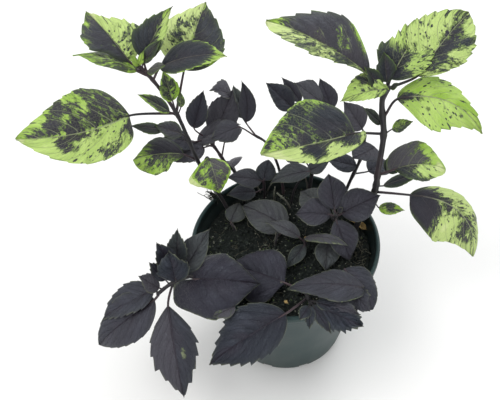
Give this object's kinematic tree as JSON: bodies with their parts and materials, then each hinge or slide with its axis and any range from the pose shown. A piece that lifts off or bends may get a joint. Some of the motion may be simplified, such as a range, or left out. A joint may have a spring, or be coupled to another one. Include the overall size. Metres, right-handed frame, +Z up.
{
  "type": "potted red basil plant",
  "caption": "Round tapered plastic pot of soil crowded with dark toothed basil shoots, two taller lime and purple ones standing above and others drooping over the rim.",
  "frame": {"origin": "centre of the pot's flat underside", "axes": "+Z up along the pot's axis, +X to the right and -Y to the front as pictured"},
  "size_m": [0.3323, 0.2122, 0.308],
  "materials": {
    "pot_plastic": "smooth dark green moulded plastic, satin",
    "potting_soil": "damp crumbly near-black potting mix",
    "variegated_leaf": "lime leaf with dark purple blotches, soft sheen",
    "dark_leaf": "dark purple-grey leaf, soft sheen"
  },
  "bodies": {
    "root": {"pot": "pot_plastic", "soil": "potting_soil", "variegated_shoot_left": "variegated_leaf", "variegated_shoot_right": "variegated_leaf", "dark_shoot_back_left": "dark_leaf", "dark_shoot_back_middle": "dark_leaf", "dark_shoot_back_right": "dark_leaf", "dark_shoot_far_right": "dark_leaf", "low_shoot_back": "dark_leaf", "low_shoot_back_right": "dark_leaf", "dark_shoot_centre": "dark_leaf", "low_shoot_middle": "dark_leaf", "low_shoot_left": "dark_leaf", "seedling_left": "dark_leaf", "dark_shoot_front_left": "dark_leaf", "dark_shoot_front": "dark_leaf", "dark_shoot_right_front": "dark_leaf"}
  },
  "joints": []
}
